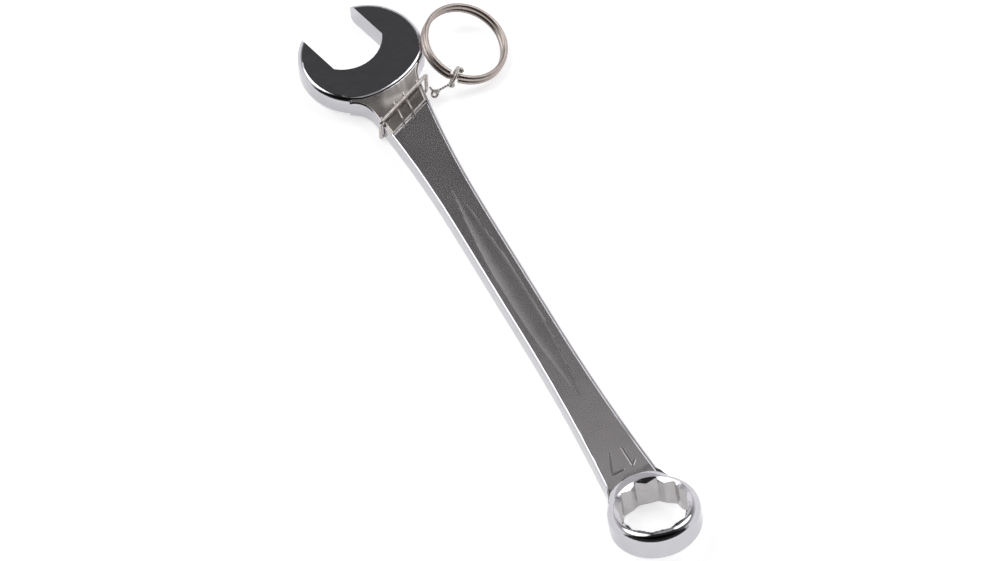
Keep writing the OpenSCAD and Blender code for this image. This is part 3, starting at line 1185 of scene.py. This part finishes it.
@dataclass
class Studio:
    """A plain pale floor, a light tent with a dark top, and the camera.

    Attributes:
        floor_z: Height of the surface that the spanner lies on.
        floor_size: Width of the floor.
        floor_x: Middle of the floor along the shank.
        floor_color: Colour of the floor.
        floor_lift: Share of the floor's white that the camera and the metal see without shade.
        tent_stops: Strength of the tent by height, from the horizon to the top.
        tent_tint: Colour of the tent.
        dark_side: Direction of the tent's dark side.
        dark_edge: Cosines at which the dark side starts and is full.
        dark_above: Heights between which the dark side starts over the horizon.
        dark_strength: Share of the tent's light that is left on its dark side.
        windows: Direction, edges and strength of each bright pane.
        lamp_size: Width of the soft lamp.
        lamp_power: Power of the soft lamp, in watts.
        lamp_aim: Place on the shank that the soft lamp shines at.
        lamp_away: From there to the soft lamp.
        lamp_toward: Direction of the soft lamp from there.
        distance: From the camera to the ring's centre.
        off_axis: How far right and down the ring's centre is from the camera's line.
        tip_deg: Angle between the camera's line and the shank's upright.
        turn_deg: Turn of the camera about the upright.
        roll_deg: Roll of the camera about its own line.
        lens_mm: Focal length of the camera.
        sensor_mm: Width of its sensor.
        clip: Nearest and furthest distance that it sees.
    """

    floor_z: float = -7.0441 * MM
    floor_size: float = 12.0
    floor_x: float = 80 * MM
    floor_color: tuple[float, float, float] = (0.86, 0.86, 0.87)
    floor_lift: float = 0.6
    tent_stops: tuple[tuple[float, float], ...] = (
        (0.0, 1.0),
        (0.05, 1.2),
        (0.28, 1.3),
        (0.46, 0.82),
        (0.64, 0.30),
        (0.78, 0.11),
        (0.86, 0.07),
        (1.0, 0.03),
    )
    tent_tint: tuple[float, float, float] = (1.0, 0.985, 1.01)
    dark_side: tuple[float, float, float] = (-0.9, 0.44, 0.0)
    dark_edge: tuple[float, float] = (0.1, 0.35)
    dark_above: tuple[float, float] = (0.07, 0.12)
    dark_strength: float = 0.04
    windows: tuple[tuple[tuple[float, float, float], tuple[float, float], float], ...] = (
        ((0.40, 0.42, 0.81), (0.93, 0.975), 3.0),
        ((0.14, -0.51, 0.82), (0.955, 0.98), 3.0),
    )
    lamp_size: float = 0.24
    lamp_power: float = 0.08
    lamp_aim: tuple[float, float, float] = (40 * MM, 0.0, 0.0)
    lamp_away: float = 0.55
    lamp_toward: tuple[float, float, float] = (0.25, -0.2, 0.95)
    distance: float = 2.001
    off_axis: tuple[float, float] = (40.24 * MM, 61.16 * MM)
    tip_deg: float = 33.61
    turn_deg: float = 26.1
    roll_deg: float = -1.24
    lens_mm: float = 278.45
    sensor_mm: float = 36.0
    clip: tuple[float, float] = (0.05, 50.0)

    def build(self) -> None:
        """Makes the floor, the light and the camera."""
        self.build_floor()
        self.build_world()
        self.build_lamp()
        self.build_camera()
        bpy.context.scene.view_settings.view_transform = "Standard"

    def build_floor(self) -> bpy.types.Object:
        """Makes the floor.

        Returns:
            The floor.
        """
        bm = bmesh.new()
        bmesh.ops.create_grid(bm, x_segments=2, y_segments=2, size=self.floor_size / 2)
        bmesh.ops.translate(bm, vec=(self.floor_x, 0, self.floor_z), verts=bm.verts)
        mesh = bpy.data.meshes.new("floor")
        bm.to_mesh(mesh)
        bm.free()
        floor = made_object("floor", mesh)
        material = bpy.data.materials.new("floor_white")
        material.use_nodes = True
        sheet = NodeSheet(material.node_tree)
        sheet.tree.nodes.clear()
        diffuse = sheet.add("ShaderNodeBsdfDiffuse")
        diffuse.inputs["Color"].default_value = (*self.floor_color, 1)
        lift = sheet.add("ShaderNodeEmission")
        path = sheet.add("ShaderNodeLightPath")
        seen = sheet.math("MAXIMUM", path.outputs["Is Camera Ray"], path.outputs["Is Glossy Ray"])
        seen = sheet.math("MAXIMUM", seen, path.outputs["Is Transmission Ray"])
        sheet.link(sheet.math("MULTIPLY", seen, self.floor_lift), lift.inputs["Strength"])
        both = sheet.add("ShaderNodeAddShader")
        sheet.link(diffuse.outputs[0], both.inputs[0])
        sheet.link(lift.outputs[0], both.inputs[1])
        out = sheet.add("ShaderNodeOutputMaterial")
        sheet.link(both.outputs[0], out.inputs[0])
        mesh.materials.append(material)
        return floor

    def build_world(self) -> None:
        """Makes the light tent: pale sides, a dark top, one dark side and two soft windows."""
        world = bpy.data.worlds.new("tent")
        bpy.context.scene.world = world
        world.use_nodes = True
        sheet = NodeSheet(world.node_tree)
        sheet.tree.nodes.clear()
        place = sheet.add("ShaderNodeTexCoord").outputs["Generated"]
        split = sheet.add("ShaderNodeSeparateXYZ")
        sheet.link(place, split.inputs[0])
        ramp = sheet.add("ShaderNodeValToRGB")
        while len(ramp.color_ramp.elements) < len(self.tent_stops):
            ramp.color_ramp.elements.new(0.5)
        for element, (position, strength) in zip(ramp.color_ramp.elements, self.tent_stops):
            element.position = position
            element.color = (*(strength * tint for tint in self.tent_tint), 1)
        sheet.link(split.outputs["Z"], ramp.inputs[0])
        side = self.toward(sheet, place, self.dark_side, self.dark_edge)
        above = self.soft_step(sheet, split.outputs["Z"], self.dark_above)
        dark = sheet.math("MULTIPLY", side, above)
        keep = sheet.math("SUBTRACT", 1.0, sheet.math("MULTIPLY", dark, 1.0 - self.dark_strength))
        base = sheet.add("ShaderNodeBackground")
        sheet.link(ramp.outputs[0], base.inputs["Color"])
        sheet.link(keep, base.inputs["Strength"])
        light = base.outputs[0]
        for direction, edges, strength in self.windows:
            pane = sheet.add("ShaderNodeBackground")
            pane.inputs["Color"].default_value = WHITE
            mask = self.toward(sheet, place, direction, edges)
            sheet.link(sheet.math("MULTIPLY", mask, strength), pane.inputs["Strength"])
            total = sheet.add("ShaderNodeAddShader")
            sheet.link(light, total.inputs[0])
            sheet.link(pane.outputs[0], total.inputs[1])
            light = total.outputs[0]
        out = sheet.add("ShaderNodeOutputWorld")
        sheet.link(light, out.inputs[0])

    def soft_step(
        self, sheet: NodeSheet, value: bpy.types.NodeSocket, edges: tuple[float, float]
    ) -> bpy.types.NodeSocket:
        """Adds a smooth step from 0 to 1.

        Args:
            sheet: The node sheet.
            value: The number that is stepped.
            edges: Where the step starts and ends.

        Returns:
            The step's output.
        """
        step = sheet.add("ShaderNodeMapRange", interpolation_type="SMOOTHSTEP")
        sheet.link(value, step.inputs["Value"])
        step.inputs["From Min"].default_value = edges[0]
        step.inputs["From Max"].default_value = edges[1]
        return step.outputs["Result"]

    def toward(
        self,
        sheet: NodeSheet,
        place: bpy.types.NodeSocket,
        direction: tuple[float, float, float],
        edges: tuple[float, float],
    ) -> bpy.types.NodeSocket:
        """Adds a soft mask round a direction.

        Args:
            sheet: The node sheet.
            place: The direction that is being lit.
            direction: The middle of the mask.
            edges: Cosines at which the mask starts and is full.

        Returns:
            The mask, from 0 to 1.
        """
        dot = sheet.add("ShaderNodeVectorMath", operation="DOT_PRODUCT")
        sheet.link(place, dot.inputs[0])
        dot.inputs[1].default_value = Vector(direction).normalized()
        return self.soft_step(sheet, dot.outputs["Value"], edges)

    def build_lamp(self) -> bpy.types.Object:
        """Makes the soft lamp over the ring head.

        Returns:
            The lamp.
        """
        data = bpy.data.lights.new("soft_lamp", "AREA")
        data.shape = "SQUARE"
        data.size = self.lamp_size
        data.energy = self.lamp_power
        lamp = made_object("soft_lamp", data)
        toward = Vector(self.lamp_toward).normalized()
        place = Vector(self.lamp_aim) + toward * self.lamp_away
        lamp.matrix_world = Matrix.Translation(place) @ toward.to_track_quat("Z", "Y").to_matrix().to_4x4()
        return lamp

    def build_camera(self) -> bpy.types.Object:
        """Makes the camera.

        Returns:
            The scene's camera.
        """
        tip, turn = math.radians(self.tip_deg), math.radians(self.turn_deg)
        away = Vector((math.cos(turn), -math.sin(turn), 0))
        right = Vector((-math.sin(turn), -math.cos(turn), 0))
        ahead = math.sin(tip) * away - math.cos(tip) * Vector((0, 0, 1))
        spin = Matrix.Rotation(LIE, 3, "Y") @ Matrix.Rotation(math.radians(self.roll_deg), 3, -ahead)
        up = right.cross(ahead)
        right, ahead, up = spin @ right, spin @ ahead, spin @ up
        data = bpy.data.cameras.new("camera")
        data.lens = self.lens_mm
        data.sensor_width = self.sensor_mm
        data.clip_start, data.clip_end = self.clip
        camera = made_object("camera", data)
        place = -(self.distance * ahead + self.off_axis[0] * right - self.off_axis[1] * up)
        camera.matrix_world = Matrix.Translation(place) @ Matrix((right, up, -ahead)).transposed().to_4x4()
        bpy.context.scene.camera = camera
        return camera


def main() -> None:
    """Builds every piece in order and reports it."""
    logging.basicConfig(level=logging.INFO, format="%(message)s")
    finishes = FinishSet()
    pieces = (
        SpannerBody(),
        KeptNode("upper_turn"),
        KeptNode("thin_wire"),
        KeptNode("cross_ties"),
        KeptNode("neck_eye"),
        Link("link_wire", "link"),
        KeptNode("ring_loop"),
        KeptNode("loop_twist"),
        SplitRing("split_ring", "ring", "split_ring_nickel", NICKEL_SPRING),
    )
    for piece in pieces:
        thing = piece.build(finishes)
        LOG.info("%s for %s: %d faces", thing.name, piece.node, len(thing.data.polygons))
    Studio().build()


if __name__ == "__main__":
    main()
